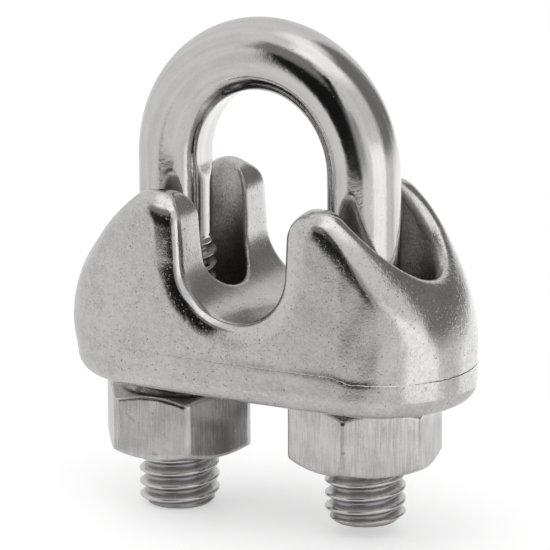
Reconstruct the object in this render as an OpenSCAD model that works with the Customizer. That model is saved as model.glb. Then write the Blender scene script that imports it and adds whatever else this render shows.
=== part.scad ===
// Wire rope clip for 8 mm rope: a threaded U-bolt, a cast saddle and two hexagon nuts.
// X runs from leg to leg, Y runs along the rope, Z points up from the nuts to the bow.
// The origin is on the axis of the rope seat, at the middle of the saddle.

/* [Thread] */
// Major diameter of the thread on both legs
thread_d = 6; // [5.8:0.1:6.2]
// Diameter of the plain rod, before the thread is rolled
rod_d = 5.3; // [4.8:0.1:5.5]
// Radial running clearance between a stud and its nut
thread_gap = 0.05; // [0.02:0.01:0.1]
// Length of thread on the right leg
thread_length = 19.1; // [16:0.1:21]
// How much longer the left leg is cut
left_extra = 0.8; // [0:0.1:1.5]
// Size of the chamfer on each stud end
end_chamfer = 0.6; // [0.3:0.1:0.9]

/* [Bow] */
// Distance between the two leg axes
leg_spacing = 15.4; // [15:0.1:16]
// Height of the bow's centre above the rope seat axis, as the clip lies loosened
bow_height = 6.4; // [5:0.1:7]
// Radius of the flat pressed into the inside of the bow by the bending tool
press_r = 5.3; // [5.2:0.05:5.4]
// Sideways rest of the U-bolt in its clearance holes
side_play = 0.5; // [0:0.05:0.5]

/* [Saddle] */
// Length over the rounded ends
saddle_length = 31; // [30.6:0.1:32]
// Width along the rope
saddle_width = 14; // [13.6:0.1:15]
// Depth of the underside below the rope seat axis
saddle_drop = 10.1; // [9.6:0.1:11]
// Radius of the rope seat
seat_r = 4.2; // [4:0.05:4.3]
// Radius of the rounded top of each horn
horn_r = 2.35; // [2.2:0.05:2.5]
// Distance of the horn's centre from the middle of the saddle
horn_x = 6.7; // [6.6:0.05:6.9]
// Height of the horn's centre above the rope seat axis
horn_z = 2.5; // [2:0.1:3]
// Fall of the shoulders from horn to end, in degrees
slope = 43; // [40:1:46]
// Radius of the pocket around each leg
pocket_r = 4.6; // [4.4:0.1:4.7]
// Height of the pocket floor below the rope seat axis
pocket_drop = 6.6; // [6:0.1:7]
// Radius of the clearance hole under each pocket
hole_r = 3.6; // [3.6:0.05:3.8]
// Rounding of the lower edge
base_round = 1.8; // [1:0.1:2]
// Height of the thicker band left below the parting line
band_height = 3.1; // [2.5:0.1:4]
// Step in the wall at the parting line
band_step = 0.12; // [0.05:0.01:0.2]

/* [Nuts] */
// Width across the flats
nut_af = 10; // [9.8:0.1:10.2]
// Height of a nut
nut_height = 5; // [4.8:0.1:5.2]
// Turn of the left nut about its leg, in degrees
nut_left_turn = 5; // [0:1:59]
// Turn of the right nut about its leg, in degrees
nut_right_turn = 41; // [0:1:59]
// Gap between the saddle and the left nut, which hangs lower on the longer leg
nut_left_gap = 0.85; // [0:0.05:1]

/* [Hidden] */
$fn = 96;

cut = 40; // reach of every cutting shape, past the whole clip
half_spacing = leg_spacing / 2;
stud_r = thread_d / 2 - thread_gap;
rod_r = rod_d / 2;

thread_top = -0.35; // where the rolled thread runs out into the rod
stud_end = thread_top - thread_length;
end_r = saddle_width / 2;
end_x = saddle_length / 2 - end_r;
upper_r = end_r - band_step;
body_top = 6; // above the horns
horn_step = 0.08; // how far each horn's round top stands out of the straight shoulder

nut_corner_r = nut_af / 2 / cos(30);
nut_face_share = 0.94; // of the width across the flats, left as a round face by the chamfer
nut_face_r = nut_face_share * nut_af / 2;
nut_chamfer_reach = 0.2; // how far the chamfer cone runs out past the corners
nut_blank_r = nut_corner_r + nut_chamfer_reach;
nut_chamfer_angle = 30;

module bow() {
    translate([0, 0, bow_height]) rotate([90, 0, 0])
        rotate_extrude(angle = 180) translate([half_spacing, 0]) circle(r = rod_r);
}

module leg(bottom) {
    translate([0, 0, thread_top]) cylinder(r = rod_r, h = bow_height - thread_top);
    translate([0, 0, thread_top - end_chamfer])
        cylinder(r1 = stud_r, r2 = rod_r, h = end_chamfer);
    translate([0, 0, bottom + end_chamfer])
        cylinder(r = stud_r, h = thread_top - bottom - 2 * end_chamfer);
    translate([0, 0, bottom]) cylinder(r1 = stud_r - end_chamfer, r2 = stud_r, h = end_chamfer);
}

module u_bolt() {
    color("lightgray") translate([-side_play, 0, 0]) difference() {
        union() {
            bow();
            translate([-half_spacing, 0, 0]) leg(stud_end - left_extra);
            translate([half_spacing, 0, 0]) leg(stud_end);
        }
        translate([0, 0, bow_height]) rotate([90, 0, 0])
            cylinder(r = press_r, h = cut, center = true);
    }
}

// Half outline of the body's cross-section, with the rounded lower edge and the parting step.
half_section = concat(
    [[0, body_top], [0, -saddle_drop]],
    [for (a = [0 : 15 : 90]) [
        end_r - base_round + base_round * sin(a),
        base_round - saddle_drop - base_round * cos(a)
    ]],
    [[end_r, band_height - saddle_drop], [upper_r, band_height - saddle_drop], [upper_r, body_top]]
);

module stadium_body() {
    translate([end_x, 0, 0]) rotate([0, 0, -90])
        rotate_extrude(angle = 180) polygon(half_section);
    translate([-end_x, 0, 0]) rotate([0, 0, 90])
        rotate_extrude(angle = 180) polygon(half_section);
    rotate([90, 0, 90]) linear_extrude(height = 2 * end_x, center = true)
        for (side = [0, 1]) mirror([side, 0]) polygon(half_section);
}

// Side view of the saddle: the rope trough between two round horns, and a straight
// shoulder outside each horn.
module side_outline() {
    inner_r = horn_r - horn_step;
    touch = [horn_x + inner_r * sin(slope), horn_z + inner_r * cos(slope)];
    reach = saddle_length / 2 + 1;
    difference() {
        for (side = [0, 1]) mirror([side, 0]) {
            translate([horn_x, horn_z]) circle(r = horn_r);
            polygon([
                [0, -saddle_drop - 1], [reach, -saddle_drop - 1],
                [reach, touch[1] - (reach - touch[0]) * tan(slope)], touch,
                [horn_x, horn_z], [horn_x - inner_r, horn_z], [0, horn_z]
            ]);
        }
        circle(r = seat_r);
        translate([-seat_r, 0]) square([2 * seat_r, cut]);
    }
}

module saddle() {
    color("silver") difference() {
        intersection() {
            stadium_body();
            rotate([90, 0, 0]) linear_extrude(height = cut, center = true) side_outline();
        }
        for (side = [-1, 1]) translate([side * half_spacing, 0, 0]) {
            translate([0, 0, -pocket_drop]) cylinder(r = pocket_r, h = cut);
            cylinder(r = hole_r, h = cut, center = true);
        }
    }
}

module nut(turn) {
    fall = (nut_blank_r - nut_face_r) * tan(nut_chamfer_angle);
    color("gainsboro") difference() {
        intersection() {
            rotate([0, 0, turn]) cylinder(r = nut_corner_r, h = nut_height, $fn = 6);
            rotate_extrude() polygon([
                [0, 0], [nut_face_r, 0], [nut_blank_r, fall],
                [nut_blank_r, nut_height - fall], [nut_face_r, nut_height], [0, nut_height]
            ]);
        }
        cylinder(r = stud_r + thread_gap, h = cut, center = true);
    }
}

module nut_left() {
    translate([-half_spacing - side_play, 0, -saddle_drop - nut_left_gap - nut_height])
        nut(nut_left_turn);
}

module nut_right() {
    translate([half_spacing - side_play, 0, -saddle_drop - nut_height]) nut(nut_right_turn);
}

u_bolt();
saddle();
nut_left();
nut_right();
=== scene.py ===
import math

import bpy
import numpy as np
from mathutils import Matrix, Vector


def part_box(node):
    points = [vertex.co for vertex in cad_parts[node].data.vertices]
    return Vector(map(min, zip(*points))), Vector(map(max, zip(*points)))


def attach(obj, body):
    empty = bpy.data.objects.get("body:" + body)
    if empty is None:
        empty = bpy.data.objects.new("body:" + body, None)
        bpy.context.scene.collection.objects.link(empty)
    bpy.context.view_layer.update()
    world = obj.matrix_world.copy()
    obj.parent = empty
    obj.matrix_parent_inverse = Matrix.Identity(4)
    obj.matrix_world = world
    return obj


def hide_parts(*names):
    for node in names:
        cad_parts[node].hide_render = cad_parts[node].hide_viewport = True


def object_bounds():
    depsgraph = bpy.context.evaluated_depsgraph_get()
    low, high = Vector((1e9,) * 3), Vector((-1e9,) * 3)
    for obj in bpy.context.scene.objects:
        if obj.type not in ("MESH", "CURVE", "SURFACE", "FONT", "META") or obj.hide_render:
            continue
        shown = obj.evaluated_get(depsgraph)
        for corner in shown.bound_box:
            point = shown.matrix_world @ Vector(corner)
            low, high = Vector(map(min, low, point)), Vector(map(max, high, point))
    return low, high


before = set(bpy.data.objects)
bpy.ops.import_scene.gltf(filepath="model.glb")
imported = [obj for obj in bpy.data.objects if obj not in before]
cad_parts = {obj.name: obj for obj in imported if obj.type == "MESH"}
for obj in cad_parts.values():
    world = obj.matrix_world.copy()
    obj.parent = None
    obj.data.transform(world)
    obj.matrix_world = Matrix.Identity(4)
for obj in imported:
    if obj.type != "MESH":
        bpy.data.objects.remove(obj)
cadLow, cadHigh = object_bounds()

# Wire rope clip: a bent and threaded rod, a cast saddle and two nuts. Shapes are worked out
# in millimetres in the frame's own axes and turned into metres when a mesh is made.

millimetre = 0.001


def nodeBox(node):
    low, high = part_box(node)
    return np.array(low) / millimetre, np.array(high) / millimetre


def smoothStep(start, end, value):
    t = np.clip((value - start) / (end - start), 0, 1)
    return t * t * (3 - 2 * t)


# The common part of two solids, with a rounded edge of about the given radius between them.
def roundMax(a, b, radius):
    corner = np.hypot(np.maximum(a + radius, 0), np.maximum(b + radius, 0))
    return np.minimum(-radius, np.maximum(a, b)) + corner


def meshPiece(name, points, faces, attributes=()):
    data = bpy.data.meshes.new(name)
    data.from_pydata((points * millimetre).tolist(), [], faces)
    for label, values in attributes:
        kind = "FLOAT" if values.ndim == 1 else "FLOAT_VECTOR"
        layer = data.attributes.new(label, kind, "POINT")
        field = "value" if values.ndim == 1 else "vector"
        layer.data.foreach_set(field, values.astype(np.float32).ravel())
    data.polygons.foreach_set("use_smooth", np.ones(len(data.polygons), bool))
    data.update()
    piece = bpy.data.objects.new(name, data)
    bpy.context.scene.collection.objects.link(piece)
    return piece


# A closed mesh of the solid where distance(x, y, z) is negative: one point for each grid cell
# that the surface crosses, one quad for each crossed grid edge, then all points pulled onto it.
def solidMesh(distance, low, high, step):
    low = np.array(low, float) - 1.5 * step
    counts = np.ceil((np.array(high, float) + 1.5 * step - low) / step).astype(int) + 1
    axes = [low[k] + step * np.arange(counts[k]) for k in range(3)]
    value = distance(*np.meshgrid(*axes, indexing="ij"))
    cells = tuple(counts - 1)
    hits = np.zeros(cells)
    total = np.zeros(cells + (3,))
    quads = []
    crossings = []
    for k in range(3):
        u, v = (k + 1) % 3, (k + 2) % 3
        a = np.take(value, range(counts[k] - 1), axis=k)
        b = np.take(value, range(1, counts[k]), axis=k)
        crossed = (a < 0) != (b < 0)
        share = np.where(crossed, a / np.where(a == b, 1, a - b), 0)
        crossings.append((k, u, v, crossed, a < 0))
        for du in (0, 1):
            for dv in (0, 1):
                part = [slice(None)] * 3
                part[u] = slice(du, du + cells[u])
                part[v] = slice(dv, dv + cells[v])
                here = crossed[tuple(part)]
                hits += here
                total[..., k] += share[tuple(part)]
                total[..., u] += here * du
                total[..., v] += here * dv
    used = hits > 0
    order = np.full(cells, -1)
    order[used] = np.arange(used.sum())
    points = low + step * (np.argwhere(used) + total[used] / hits[used][:, None])
    for k, u, v, crossed, leaving in crossings:
        at = np.argwhere(crossed)
        at = at[(at[:, u] > 0) & (at[:, v] > 0) & (at[:, u] < cells[u]) & (at[:, v] < cells[v])]
        turns = leaving[tuple(at.T)]
        ring = []
        for du, dv in ((1, 1), (0, 1), (0, 0), (1, 0)):
            cell = at.copy()
            cell[:, u] -= du
            cell[:, v] -= dv
            ring.append(order[tuple(cell.T)])
        ring = np.stack(ring, 1)
        ring[~turns] = ring[~turns][:, ::-1]
        quads.append(ring)
    quads = np.concatenate(quads)

    def pull(p):
        reach = 0.01
        here = distance(*p.T)
        slope = np.stack([
            (distance(*(p + reach * side).T) - distance(*(p - reach * side).T)) / (2 * reach)
            for side in np.eye(3)
        ], 1)
        move = here[:, None] * slope / np.maximum((slope ** 2).sum(1), 0.05)[:, None]
        return p - np.clip(move, -step, step)

    for relax in (True, True, False, False):
        points = pull(points)
        if relax:
            near = np.zeros_like(points)
            met = np.zeros(len(points))
            for a, b in ((0, 1), (1, 2), (2, 3), (3, 0)):
                np.add.at(near, quads[:, a], points[quads[:, b]])
                np.add.at(near, quads[:, b], points[quads[:, a]])
                np.add.at(met, quads[:, a], 1)
                np.add.at(met, quads[:, b], 1)
            points = 0.5 * points + 0.5 * near / met[:, None]
    return points, quads.tolist()


# A shader socket that takes part in arithmetic; each operation adds a Math node.
class Signal:
    def __init__(self, board, socket):
        self.board = board
        self.socket = socket

    def math(self, operation, *others):
        terms = dict(enumerate((self, *others)))
        return self.board.add("ShaderNodeMath", {"operation": operation}, terms)

    def __add__(self, other):
        return self.math("ADD", other)

    def __sub__(self, other):
        return self.math("SUBTRACT", other)

    def __mul__(self, other):
        return self.math("MULTIPLY", other)

    def __rsub__(self, other):
        return self.board.add("ShaderNodeMath", {"operation": "SUBTRACT"}, {0: other, 1: self})

    __radd__ = __add__
    __rmul__ = __mul__


# One node tree, filled through a single method.
class Board:
    def __init__(self, owner):
        owner.use_nodes = True
        self.tree = owner.node_tree

    def add(self, kind, settings, sockets, output=0):
        node = self.tree.nodes.new(kind)
        for key, value in settings.items():
            setattr(node, key, value)
        for key, value in sockets.items():
            if isinstance(value, Signal):
                self.tree.links.new(value.socket, node.inputs[key])
            else:
                node.inputs[key].default_value = value
        return Signal(self, node.outputs[output])

    def feed(self, node, key, signal):
        self.tree.links.new(signal.socket, node.inputs[key])

    # 0 where the value is at start, 1 where it is at end
    def ease(self, value, start, end):
        limits = {"Value": value, "From Min": start, "From Max": end}
        return self.add("ShaderNodeMapRange", {"interpolation_type": "SMOOTHSTEP"}, limits)

    # noise with features of the given size in millimetres
    def noise(self, place, size, detail=2, distortion=0.0):
        sockets = {"Vector": place, "Scale": 1 / (size * millimetre)}
        sockets |= {"Detail": detail, "Distortion": distortion}
        return self.add("ShaderNodeTexNoise", {}, sockets)

    # scattered marks: 1 inside, 0 between them
    def marks(self, place, size, detail, start, end):
        return self.ease(self.noise(place, size, detail), start, end)

    def attribute(self, name, output="Fac"):
        return self.add("ShaderNodeAttribute", {"attribute_name": name}, {}, output)

    def stretched(self, place, scale):
        return self.add("ShaderNodeVectorMath", {"operation": "MULTIPLY"}, {0: place, 1: scale})

    def blend(self, factor, first, second):
        sockets = {0: factor, 6: first, 7: second}
        return self.add("ShaderNodeMix", {"data_type": "RGBA"}, sockets, 2)

    def axes(self, place):
        return [self.add("ShaderNodeSeparateXYZ", {}, {0: place}, k) for k in range(3)]


def newMetal(name):
    material = bpy.data.materials.new(name)
    board = Board(material)
    shader = board.tree.nodes["Principled BSDF"]
    shader.inputs["Metallic"].default_value = 1.0
    place = board.add("ShaderNodeTexCoord", {}, {}, "Object")
    return material, board, shader, place


# Turns a height in millimetres into a tilt of the surface.
def relief(board, shader, height):
    bump = board.add("ShaderNodeBump", {}, {"Height": height, "Distance": millimetre, "Strength": 1.0})
    board.feed(shader, "Normal", bump)


# The U-bolt: one round rod with two legs, a bow and a rolled thread on each leg.
uLow, uHigh = nodeBox("u_bolt")
rodLook = {
    "rodRadius": 2.65,
    "bowHeight": 6.0,  # where the legs turn into the bow
    "flatDepth": 0.27,  # pressed seat inside the bow
    "flatReach": 1.7,  # how far the pressed seat runs down each leg
    "flatRound": 0.05,
    "leftExtra": 0.8,  # the left leg is cut this much longer
    "pitch": 1.0,
    "threadCrest": 2.93,
    "threadRoot": 2.36,
    "crestWidth": 0.08,  # share of half a pitch that is full height
    "rootWidth": 0.86,  # share of half a pitch where the root begins
    "threadTop": {-1: -0.2, 1: -0.7},
    "threadLead": 0.6,  # how far above the thread's top its close rings go
    "runOut": (0.5, -0.9),  # where the thread begins and is full, from its top
    "threadStart": {-1: -0.19, 1: -0.48},  # turn of the thread on the left and the right leg
    "endRadius": 2.3,
    "endSlope": 1.1,  # radius gained for each millimetre of the end's chamfer
    "capShares": (0.6, 0.94),  # rings of each end face
    "ringsPerPitch": 16,
    "plainRings": 17,
    "bowRings": 97,
    "segments": 96,
}
studRadius = uHigh[1]
legX = {-1: uLow[0] + studRadius, 1: uHigh[0] - studRadius}
middleX = (legX[-1] + legX[1]) / 2
halfSpacing = (legX[1] - legX[-1]) / 2
legEnd = {-1: uLow[2], 1: uLow[2] + rodLook["leftExtra"]}
bowRise = uHigh[2] - rodLook["rodRadius"] - rodLook["bowHeight"]


# Radius of the rolled thread at a height and a turn about the leg.
def threadRadius(side, z, turn, crest, rootShadeAndRoughness):
    phase = (z / rodLook["pitch"] - turn / (2 * np.pi) + rodLook["threadStart"][side]) % 1
    away = np.abs(phase - 0.5) * 2  # 0 on the crest, 1 in the root
    return crest - (crest - rootShadeAndRoughness) * smoothStep(rodLook["crestWidth"], rodLook["rootWidth"], away)


# The rod's middle line from the left leg's end to the right leg's: each station has its
# centre and the outward direction in the X-Z plane, and the side of its leg, or 0 on the bow.
def rodStations():
    look = rodLook
    legs = {}
    for side in (-1, 1):
        top = look["threadTop"][side] + look["threadLead"]
        thread = np.arange(legEnd[side], top, look["pitch"] / look["ringsPerPitch"])
        plain = np.linspace(thread[-1] + 0.3, look["bowHeight"], look["plainRings"] + 1)[:-1]
        out = np.array([float(side), 0.0])
        legs[side] = [(np.array([legX[side], z]), out, side) for z in (*thread, *plain)]
    bow = []
    for angle in np.linspace(np.pi, 0, look["bowRings"]):
        across, up = np.cos(angle), np.sin(angle)
        out = np.array([across / halfSpacing, up / bowRise])
        centre = np.array([middleX + halfSpacing * across, look["bowHeight"] + bowRise * up])
        bow.append((centre, out / np.hypot(*out), 0))
    return legs[-1] + bow + legs[1][::-1]


# Radius of the rod at one station, for each angle from the outward direction.
def rodRadius(centre, side, around):
    look = rodLook
    height = centre[1]
    radius = np.full(len(around), look["rodRadius"])
    pressed = np.zeros(len(around))
    # the seat pressed into the inside of the bow, which fades out down the legs
    below = max(look["bowHeight"] - height, 0) / look["flatReach"]
    depth = look["flatDepth"] * (1 - smoothStep(0.1, 1.0, below))
    if depth > 1e-4:
        flat = (look["rodRadius"] - depth) / np.maximum(-np.cos(around), 0.2)
        radius = np.minimum(radius, -roundMax(-radius, -flat, look["flatRound"]))
        pressed = smoothStep(0.02, 0.08, look["rodRadius"] - radius)
    if side and height < look["threadTop"][side] + look["threadLead"]:
        turn = around if side > 0 else np.pi - around
        cut = threadRadius(side, height, turn, look["threadCrest"], look["threadRoot"])
        start, full = (look["threadTop"][side] + reach for reach in look["runOut"])
        radius = radius + (cut - radius) * smoothStep(start, full, height)
        radius = np.minimum(radius, look["endRadius"] + look["endSlope"] * (height - legEnd[side]))
    return radius, pressed


def buildRod():
    size = rodLook["segments"]
    around = np.linspace(0, 2 * np.pi, size, endpoint=False)
    points, place, pressed = [], [], []
    along = 0.0
    last = None
    for centre, out, side in rodStations():
        radius, flattened = rodRadius(centre, side, around)
        if last is not None:
            along += np.hypot(*(centre - last))
        last = centre
        outward = radius * np.cos(around)
        ring = (centre[0] + outward * out[0], radius * np.sin(around), centre[1] + outward * out[1])
        points.append(np.stack(ring, 1))
        place.append(np.stack([np.full(size, along), around, radius], 1))
        pressed.append(flattened)
    # each end face has inner rings and a middle point
    middles = [np.array([legX[side], 0.0, legEnd[side]]) for side in (-1, 1)]
    caps = []
    for rim, end in ((points[0], legEnd[-1]), (points[-1], legEnd[1])):
        middle = np.array([rim[:, 0].mean(), 0.0, end])
        caps.append([middle + (rim - middle) * share for share in rodLook["capShares"]])
    points = caps[0] + points + caps[1][::-1]
    extra = len(rodLook["capShares"])
    place = place[:1] * extra + place + place[-1:] * extra
    pressed = pressed[:1] * extra + pressed + pressed[-1:] * extra
    count = len(points)
    allPoints = np.concatenate(points + [middles])
    allPlaces = np.concatenate(place + [place[0][:1], place[-1][:1]])
    allPressed = np.concatenate(pressed + [[0, 0]])
    faces = []
    for i in range(count - 1):
        for j in range(size):
            k = (j + 1) % size
            faces.append((i * size + j, (i + 1) * size + j, (i + 1) * size + k, i * size + k))
    for j in range(size):
        k = (j + 1) % size
        faces.append((count * size, j, k))
        faces.append((count * size + 1, (count - 1) * size + k, (count - 1) * size + j))
    return meshPiece("rod", allPoints, faces, [("rodPlace", allPlaces), ("pressed", allPressed)])


# The saddle: one casting, tumbled and polished.
sLow, sHigh = nodeBox("saddle")
saddleLook = {
    "seatRadius": 4.2,
    "wallLean": 0.06,  # how much the trough opens above the seat
    "hornRadius": 2.5,
    "shoulderRadius": 50.0,
    "shoulderCentre": (-24.4, -33.4),
    "troughRound": 0.55,  # rounding of the rim at the trough, on the shoulders and at the ends
    "rimRound": 1.7,
    "rimSpan": (4.3, 5.8),  # where the trough's rounding turns into the shoulder's
    "endRound": 2.3,
    "endSpan": (9.0, 13.0),
    "crownWidth": (1.7, 2.4),  # how far below the rim the walls begin to lean in, trough and shoulder
    "crownDepth": (0.4, 0.6),  # how far they lean
    "crownSpan": (5.0, 8.0),  # from the trough's values to the shoulder's, out from the middle
    "crownFade": (14.5, 11.5),  # the lean is gone at the ends
    "dishDepth": (0.4, 1.1),  # how far the rim falls to the pocket's edge, at the horn and the end
    "dishSpan": (6.5, 11.0),
    "dishWidth": 1.1,
    "dishRound": 0.4,
    "baseRound": 1.45,
    "leftSwell": 0.35,  # the left end is fuller near its lower edge
    "swellSpan": (-9, -14),
    "swellFade": (-9, -6),
    "barrel": 0.15,  # how far the long walls bulge in the middle
    "partingHeight": 3.1,  # above the underside
    "partingStep": 0.03,
    "partingWidth": 0.3,
    "partingDrop": 0.35,  # the line drops this much on the right
    "dropSpan": (8.0, 9.8),  # where it drops
    "pocketRadius": 4.6,
    "pocketFloor": -6.6,
    "pocketRound": 0.7,
    "lipRound": 0.4,
    "holeRadius": 3.6,
    "holeRound": 0.3,
    "unevenness": 0.006,
    "troughWearAndShade": 0.4,  # how rough the trough is, and how dark its painted shade is, as a share of the pockets
    "meshStep": 0.2,
}


# Value at the first of two places, easing over to the value at the second.
def between(pair, share):
    return pair[0] + (pair[1] - pair[0]) * share


# The centre of the horn's round top, which touches the trough wall and the shoulder.
def hornCentre():
    look = saddleLook
    height = 2.4  # a first guess, which settles in a few rounds
    for _ in range(6):
        reach = look["seatRadius"] + look["wallLean"] * height + look["hornRadius"]
        across = reach - look["shoulderCentre"][0]
        span = look["shoulderRadius"] - look["hornRadius"]
        height = look["shoulderCentre"][1] + math.sqrt(span ** 2 - across ** 2)
    return reach, height


hornX, hornZ = hornCentre()
pocketX = halfSpacing
endRadius = sHigh[1]
straight = sHigh[0] - endRadius


# Distances from the trough's surface and from the shoulder, seen along the rope.
def saddleProfile(x, z):
    look = saddleLook
    opening = look["seatRadius"] + look["wallLean"] * np.maximum(z, 0)
    trough = opening - np.hypot(x, np.minimum(z, 0))
    centreX, centreZ = look["shoulderCentre"]
    shoulder = np.hypot(np.abs(x) - centreX, z - centreZ) - look["shoulderRadius"]
    return trough, shoulder


def saddleDistance(x, y, z):
    look = saddleLook
    across = np.abs(x)
    # seen from above: a round-ended bar, stepped in a little above the parting line
    parting = sLow[2] + look["partingHeight"] - look["partingDrop"] * smoothStep(*look["dropSpan"], x)
    width = look["partingWidth"]
    wall = endRadius - look["partingStep"] * smoothStep(-width, width, z - parting)
    wall = wall + look["leftSwell"] * smoothStep(*look["swellSpan"], x) * smoothStep(*look["swellFade"], z)
    wall = wall + look["barrel"] * (1 - np.minimum(across / straight, 1) ** 2)
    plan = np.hypot(np.maximum(across - straight, 0), y) - wall
    # seen along the rope: trough, horn and shoulder
    trough, shoulder = saddleProfile(x, z)
    outX, outZ = across - hornX, z - hornZ
    slopeX, slopeZ = hornX - look["shoulderCentre"][0], hornZ - look["shoulderCentre"][1]
    onHorn = (outZ > 0) & (outX * slopeZ < outZ * slopeX)
    outline = np.maximum(trough, shoulder)
    outline = np.where(onHorn, np.hypot(outX, outZ) - look["hornRadius"], outline)
    # the walls lean in towards the rim before it turns over
    outer = smoothStep(*look["crownSpan"], across)
    lean = np.clip(1 + outline / between(look["crownWidth"], outer), 0, 1) ** 2
    fade = smoothStep(*look["crownFade"], across)
    plan = plan + between(look["crownDepth"], outer) * lean * fade
    body = roundMax(plan, sLow[2] - z, look["baseRound"])
    rim = between((look["troughRound"], look["rimRound"]), smoothStep(*look["rimSpan"], across))
    rim = rim + (look["endRound"] - look["rimRound"]) * smoothStep(*look["endSpan"], across)
    body = roundMax(body, outline, rim)
    # the rim falls away to the pocket's edge
    radial = np.hypot(across - pocketX, y)
    top = np.where(onHorn, np.hypot(np.maximum(outX, 0), outZ) - look["hornRadius"], shoulder)
    depth = between(look["dishDepth"], smoothStep(*look["dishSpan"], across))
    dish = (look["pocketRadius"] - radial) / look["dishWidth"] + top / depth + 1
    dish = dish / np.hypot(1 / look["dishWidth"], 1 / depth)
    body = roundMax(body, dish, look["dishRound"])
    pocket = roundMax(radial - look["pocketRadius"], look["pocketFloor"] - z, look["pocketRound"])
    body = roundMax(body, -pocket, look["lipRound"])
    body = roundMax(body, look["holeRadius"] - radial, look["holeRound"])
    waves = np.sin(1.1 * x + 0.7 * z) * np.sin(0.9 * z - 0.5 * y + 1)
    waves = waves + np.sin(1.9 * x - 1.3 * z + 2 * y)
    return body + look["unevenness"] * waves


# The saddle carries three masks for its finish: rough seat and pockets, which also carries painted shade;
# tumbled edges, which also carries a painted highlight; and the raw skin left on the ends of the
# shoulders.
def buildSaddle():
    look = saddleLook
    points, quads = solidMesh(saddleDistance, sLow, sHigh, look["meshStep"])
    x, y, z = points.T
    across = np.abs(x)
    trough, shoulder = saddleProfile(x, z)
    radial = np.hypot(across - pocketX, y)
    inTrough = smoothStep(-0.5, -0.05, trough) * smoothStep(6.6, 5.6, np.abs(y))
    inPocket = smoothStep(0.5, 0.1, np.abs(radial - look["pocketRadius"]))
    inPocket = inPocket * smoothStep(6.6, 6.2, np.abs(y))
    # rough seat and pockets; the same mask paints shade into the trough and the pockets
    seat = np.maximum(look["troughWearAndShade"] * inTrough, inPocket)
    wall = np.hypot(np.maximum(across - straight, 0), y) - endRadius
    # tumbled edges; the same mask paints a highlight on the rims
    edge = smoothStep(-1.6, -0.6, wall) * smoothStep(-1.6, -0.6, np.maximum(trough, shoulder))
    raw = smoothStep(9.5, 11.0, across) * smoothStep(-1.4, -0.5, shoulder)
    return meshPiece("castSaddle", points, quads, [("seat", seat), ("edge", edge), ("raw", raw)])


# The nuts, with their thread in step with the stud's.
nutLook = {
    "acrossFlats": 10.0,
    "cornerRound": 0.3,
    "faceShare": 0.94,  # round face left inside the chamfer, as a share of the flats
    "coneSlope": (0.5, 0.866),  # sine and cosine of the chamfer's 30 degrees
    "sinkSlope": 0.707,  # of the countersink's 45 degrees
    "edgeRound": 0.12,
    "threadCrest": 2.46,
    "threadRoot": 3.02,
    "countersink": 3.2,
    "turn": {-1: 5.0, 1: 41.0},
    "meshStep": 0.13,
}


def buildNut(side, node):
    low, high = nodeBox(node)
    look = nutLook
    half = look["acrossFlats"] / 2
    middle, halfHeight = (high[2] + low[2]) / 2, (high[2] - low[2]) / 2
    faceRadius = look["faceShare"] * half
    sine, cosine = look["coneSlope"]
    start = math.radians(look["turn"][side] + 30)
    sides = [start + k * math.pi / 3 for k in range(6)]

    def distance(x, y, z):
        across = x - legX[side]
        flats = np.stack([across * math.cos(a) + y * math.sin(a) - half for a in sides])
        flats = np.sort(flats, axis=0)
        hexagon = roundMax(flats[-1], flats[-2], look["cornerRound"])
        radial = np.hypot(across, y)
        face = np.abs(z - middle) - halfHeight
        cone = (radial - faceRadius) * sine + face * cosine
        body = roundMax(hexagon, cone, look["edgeRound"])
        body = roundMax(body, face, look["edgeRound"])
        bore = threadRadius(side, z, np.arctan2(y, across), look["threadRoot"], look["threadCrest"])
        body = np.maximum(body, (bore - radial) * 0.8)  # less, as the thread's flanks are steep
        return np.maximum(body, (look["countersink"] - radial + face) * look["sinkSlope"])

    points, quads = solidMesh(distance, low, high, look["meshStep"])
    return meshPiece("nutLeft" if side < 0 else "nutRight", points, quads)


# Finishes. Marks are given as (size in millimetres, detail, and the noise values where a mark
# starts and where it is full); depths are in millimetres.
castLook = {
    "light": (0.70, 0.685, 0.67, 1),
    "dark": (0.56, 0.545, 0.54, 1),
    # painted shade for the trough and the pockets
    "seatColour": (0.40, 0.385, 0.39, 1),
    "pitColour": (0.30, 0.29, 0.29, 1),
    "roughness": 0.17,
    "seatRoughness": 0.16,  # added where the rope lies and in the pockets
    "edgePolish": 0.06,  # taken off on tumbled edges
    "shadeSpan": (0.66, 1.02),
    "grainSize": 0.16,
    "mottleSize": 0.5,
    "cloudSize": 3.5,
    "pits": (0.22, 1.5, 0.66, 0.74),
    "dents": (1.1, 1, 0.70, 0.76),
    "specks": (0.14, 2, 0.60, 0.70),
    "speckPatches": (1.6, 3, 0.40, 0.62),
    "blisters": (0.26, 2, 0.48, 0.72),
    "scratchStretch": (6, 1, 0.8),
    "scratchSize": 0.9,
    "scratchSpan": (0.66, 0.70),
    "grainDepth": 0.005,
    "pitDepth": 0.008,
    "speckDepth": 0.004,
    "blisterDepth": 0.01,
    "ledgeDepth": 0.05,  # the flash left at the parting line
    "ledgeWidth": 0.05,
    "ledgeWander": 0.2,
}


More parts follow.
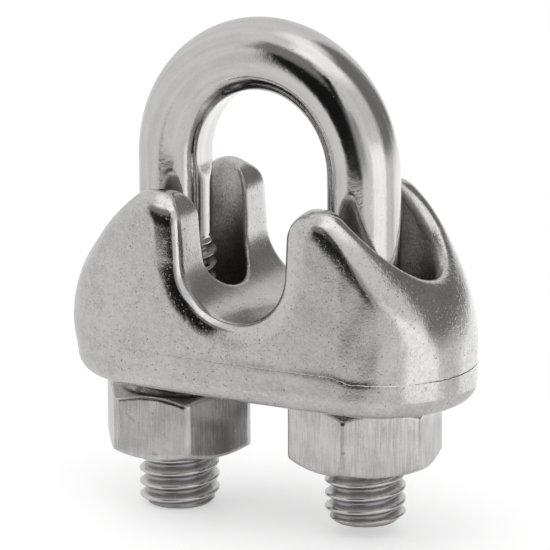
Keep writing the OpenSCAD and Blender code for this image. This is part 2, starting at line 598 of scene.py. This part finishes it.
def castSteel():
    look = castLook
    material, board, shader, place = newMetal("castSteel")
    seat, edge, raw = (board.attribute(name) for name in ("seat", "edge", "raw"))
    cloud = board.noise(place, look["cloudSize"], 3)
    grain = board.noise(place, look["grainSize"], 3)
    mottle = board.noise(place, look["mottleSize"])
    specks = board.marks(place, *look["specks"]) * board.marks(place, *look["speckPatches"])
    pits = board.marks(place, *look["pits"])
    dents = board.marks(place, *look["dents"])
    scratch = board.noise(board.stretched(place, look["scratchStretch"]), look["scratchSize"], 3, 0.3)
    scratches = board.ease(scratch, *look["scratchSpan"]) * (1 - seat)
    # random tone from grain, mottle and cloud, with painted shade in the seat and a painted highlight on
    # the edges
    shade = grain * 0.7 + mottle * 0.5 + cloud * 0.5 - seat * 0.06 + edge * 0.12
    colour = board.blend(board.ease(shade, *look["shadeSpan"]), look["dark"], look["light"])
    # painted shade: the trough and the pockets are darkened in colour
    colour = board.blend(seat * board.ease(grain, 0.35, 0.65) * 0.85, colour, look["seatColour"])
    colour = board.blend(specks * 0.4 + pits * 0.6, colour, look["pitColour"])
    board.feed(shader, "Base Color", colour)
    roughness = look["roughness"] + seat * look["seatRoughness"] - edge * look["edgePolish"]
    roughness = roughness + (grain - 0.5) * 0.14 + (cloud - 0.5) * 0.12
    board.feed(shader, "Roughness", roughness + pits * 0.15 + scratches * 0.05)
    skin = grain * 0.6 + mottle * 0.8 + cloud * 1.5 + seat * grain * 4.0 - dents * 0.5 - scratches * 0.12
    height = skin * look["grainDepth"] - pits * look["pitDepth"] + partingLedge(board, place, mottle)
    blisters = raw * board.marks(place, *look["blisters"])
    relief(board, shader, height + blisters * look["blisterDepth"] - specks * look["speckDepth"])
    return material


# The metal stands out a little below the parting line, which wanders and drops on the right.
def partingLedge(board, place, mottle):
    x, z = board.axes(place)[::2]
    start, end = (value * millimetre for value in saddleLook["dropSpan"])
    drop = board.ease(x, start, end) * (saddleLook["partingDrop"] * millimetre)
    above = z + drop + (mottle - 0.5) * (castLook["ledgeWander"] * millimetre)
    ledge = (sLow[2] + saddleLook["partingHeight"]) * millimetre
    reach = castLook["ledgeWidth"] * millimetre
    return board.ease(above, ledge + reach, ledge - reach) * castLook["ledgeDepth"]


polishLook = {
    "light": (0.74, 0.725, 0.71, 1),
    "dark": (0.62, 0.605, 0.60, 1),
    # painted shade for the thread's root
    "rootShadeAndRoughness": (0.40, 0.385, 0.39, 1),
    "rootSpan": (2.82, 2.45),  # radius where a thread's flank starts to darken with painted shade, and is dark
    "roughness": 0.10,
    "shadeSpan": (0.62, 1.05),
    "wearSize": 2.4,
    "peelSize": 0.3,
    "fineSize": 0.1,
    "nicks": (0.45, 2, 0.69, 0.74),
    "drawn": (0.00012, 0.004, 0),  # stretch of the drawing lines: along, around, outward
    "hammered": (0.0006, 0.0026, 0),  # stretch of the tool's short ticks
    "tickSize": 0.35,
    "lineDepth": 0.004,
    "tickDepth": 0.0045,
    "fineDepth": 0.002,
    "peelDepth": 0.004,
    "nickDepth": 0.004,
    "pressedDepth": 0.008,
}


def polishedRod():
    look = polishLook
    material, board, shader, place = newMetal("polishedRod")
    run = board.attribute("rodPlace", "Vector")
    pressed = board.attribute("pressed")
    wear = board.noise(place, look["wearSize"], 3)
    peel = board.noise(place, look["peelSize"])
    fine = board.noise(place, look["fineSize"])
    lines = board.noise(board.stretched(run, look["drawn"]), 1.0, 3, 0.2)
    ticks = board.noise(board.stretched(run, look["hammered"]), look["tickSize"], 3, 0.4)
    nicks = board.marks(place, *look["nicks"])
    onLeg = board.ease(board.axes(place)[2], 0.0, -0.8 * millimetre)
    # painted shade in the thread's root; the same mask also makes the root rougher
    rootShadeAndRoughness = board.ease(board.axes(run)[2], *look["rootSpan"]) * onLeg
    shade = board.ease(wear * 0.5 + lines * 0.8 + fine * 0.4, *look["shadeSpan"])
    colour = board.blend(shade, look["dark"], look["light"])
    board.feed(shader, "Base Color", board.blend(rootShadeAndRoughness * 0.9, colour, look["rootShadeAndRoughness"]))
    roughness = look["roughness"] + (wear - 0.5) * 0.1 + (lines - 0.5) * 0.14
    board.feed(shader, "Roughness", roughness + nicks * 0.12 + rootShadeAndRoughness * 0.2 + pressed * 0.06)
    height = peel * look["peelDepth"] + lines * look["lineDepth"] + ticks * look["tickDepth"]
    height = height + fine * look["fineDepth"] - nicks * look["nickDepth"]
    relief(board, shader, height + pressed * peel * look["pressedDepth"])
    return material


nutFinish = {
    "light": (0.72, 0.705, 0.70, 1),
    "dark": (0.50, 0.49, 0.485, 1),
    "roughness": 0.18,
    "shadeSpan": (0.55, 0.95),
    "cloudSize": 2.2,
    "lineSize": 0.12,
    "lineStretch": 0.06,  # the drawing lines run up the flats
    "nicks": (0.6, 2, 0.68, 0.72),
    "lineDepth": 0.0025,
    "fineDepth": 0.002,
    "cloudDepth": 0.012,
    "nickDepth": 0.004,
}


def brightNut():
    look = nutFinish
    material, board, shader, place = newMetal("brightNut")
    cloud = board.noise(place, look["cloudSize"], 3)
    lines = board.noise(board.stretched(place, (1, 1, look["lineStretch"])), look["lineSize"])
    fine = board.noise(place, look["lineSize"])
    nicks = board.marks(place, *look["nicks"])
    shade = board.ease(cloud * 0.6 + lines * 0.6 + fine * 0.3, *look["shadeSpan"])
    board.feed(shader, "Base Color", board.blend(shade, look["dark"], look["light"]))
    roughness = look["roughness"] + (cloud - 0.5) * 0.12 + (lines - 0.5) * 0.12 + nicks * 0.1
    board.feed(shader, "Roughness", roughness)
    height = lines * look["lineDepth"] + fine * look["fineDepth"] + cloud * look["cloudDepth"]
    relief(board, shader, height - nicks * look["nickDepth"])
    return material


rod = buildRod()
print("rod built", len(rod.data.polygons))
saddle = buildSaddle()
print("saddle built", len(saddle.data.polygons))
leftNut, rightNut = buildNut(-1, "nut_left"), buildNut(1, "nut_right")
print("nuts built", len(rightNut.data.polygons))

rodMetal, saddleMetal, nutMetal = polishedRod(), castSteel(), brightNut()
for piece, node, slotName, metal in (
    (rod, "u_bolt", "polished_rod", rodMetal),
    (saddle, "saddle", "cast_saddle", saddleMetal),
    (leftNut, "nut_left", "bright_nut", nutMetal),
    (rightNut, "nut_right", "bright_nut", nutMetal),
):
    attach(piece, node)
    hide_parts(node)
    piece.data.materials.append(metal)
print("finishes made")

# Floor, light and camera. A panel is a soft patch of the room: turn about Z in degrees, 0 in
# front and 90 on the right; height above the horizon in degrees; how soft its sides and its top
# and bottom are; and the brightness inside.
stageLook = {
    "azimuth": 28.78,
    "elevation": 15.15,
    "roll": -0.46,
    "distance": 400.0,
    "lens": 365.2,
    "sensor": 36.0,
    "aimRight": 0.43,
    "aimUp": -7.94,
    "bowCentre": (-0.5, 0.0, 6.0),
    "floorRadius": 32.0,
    "floorShift": 9.0,
    "floorColour": (0.95, 0.95, 0.95, 1),
    "floorShade": (0.35, 0.35, 0.35, 1),  # how bright the floor's glow is in reflections
    "floorGlow": 0.45,
    "floorRoughness": 0.8,
    "airColour": (1.0, 1.0, 1.0, 1),
    "walls": 0.74,
    "panels": (
        {"turn": (-200, 200), "height": (76, 95), "soft": (1, 8), "light": 1.12},  # ceiling
        {"turn": (-8, 92), "height": (49, 95), "soft": (16, 9), "light": 1.22},  # overhead box
        {"turn": (-25, 24), "height": (-14, 40), "soft": (4, 2.5), "light": 0.01},  # dark front
        {"turn": (-34, 12), "height": (24, 50), "soft": (6, 5), "light": 0.22},  # its upper edge
        {"turn": (20, 40), "height": (-8, 20), "soft": (8, 6), "light": 0.34},  # its right edge
        {"turn": (57, 101), "height": (-28, 8), "soft": (5, 6), "light": 1.2},  # right window
        {"turn": (102, 172), "height": (0, 66), "soft": (9, 7), "light": 0.2},  # dark corner
        {"turn": (135, 205), "height": (-40, -4), "soft": (8, 5), "light": 1.15},  # white behind
    ),
}


# The camera looks at a point placed from the bow's centre, and rolls a little.
def placeCamera():
    look = stageLook
    a, e, r = (math.radians(look[key]) for key in ("azimuth", "elevation", "roll"))
    back = Vector((math.sin(a) * math.cos(e), -math.cos(a) * math.cos(e), math.sin(e)))
    flatRight = Vector((math.cos(a), math.sin(a), 0))
    flatUp = back.cross(flatRight)
    right = flatRight * math.cos(r) + flatUp * math.sin(r)
    up = flatUp * math.cos(r) - flatRight * math.sin(r)
    aim = Vector(look["bowCentre"]) + right * look["aimRight"] + up * look["aimUp"]
    data = bpy.data.cameras.new("camera")
    data.lens = look["lens"]
    data.sensor_width = look["sensor"]
    data.clip_start, data.clip_end = 0.01, 10
    camera = bpy.data.objects.new("camera", data)
    turn = Matrix((right, up, back)).transposed().to_4x4()
    camera.matrix_world = Matrix.Translation((aim + back * look["distance"]) * millimetre) @ turn
    bpy.context.scene.collection.objects.link(camera)
    bpy.context.scene.camera = camera


def buildFloor():
    look = stageLook
    bpy.ops.mesh.primitive_circle_add(
        vertices=128, radius=look["floorRadius"] * millimetre, fill_type="NGON",
        location=(look["floorShift"] * millimetre, 0, cadLow.z - 0.1 * millimetre),
    )
    floor = bpy.context.object
    floor.name = "floor"
    material = bpy.data.materials.new("paleFloor")
    board = Board(material)
    shader = board.tree.nodes["Principled BSDF"]
    shader.inputs["Base Color"].default_value = look["floorColour"]
    shader.inputs["Roughness"].default_value = look["floorRoughness"]
    shader.inputs["Emission Strength"].default_value = look["floorGlow"]
    seen = board.add("ShaderNodeLightPath", {}, {}, "Is Camera Ray")
    board.feed(shader, "Emission Color", board.blend(seen, look["floorShade"], look["floorColour"]))
    floor.data.materials.append(material)


# Brightness inside a panel's span: 1 inside, 0 outside.
def inSpan(board, value, span, soft):
    low, high = span
    return board.ease(value, low - soft, low + soft) * board.ease(value, high + soft, high - soft)


def lightStudio():
    world = bpy.data.worlds.new("studio")
    bpy.context.scene.world = world
    board = Board(world)
    background = board.tree.nodes["Background"]
    background.inputs["Color"].default_value = stageLook["airColour"]
    x, y, z = board.axes(board.add("ShaderNodeTexCoord", {}, {}, "Generated"))
    degrees = 180 / math.pi
    turn = x.math("ARCTAN2", y * -1.0) * degrees
    height = z.math("ARCSINE") * degrees
    fullTurn = turn + 360 * turn.math("LESS_THAN", 0.0)  # the same, from 0 to 360
    light = stageLook["walls"]
    for panel in stageLook["panels"]:
        behind = panel["turn"][0] > 0 and panel["turn"][1] > 180
        mask = inSpan(board, fullTurn if behind else turn, panel["turn"], panel["soft"][0])
        mask = mask * inSpan(board, height, panel["height"], panel["soft"][1])
        light = (1 - mask) * light + mask * panel["light"]
    # the camera sees plain white behind the clip
    seen = board.add("ShaderNodeLightPath", {}, {}, "Is Camera Ray")
    board.feed(background, "Strength", light * (1 - seen) + seen)


lightStudio()
placeCamera()
buildFloor()
print("stage set")
bpy.context.scene.view_settings.view_transform = "Standard"
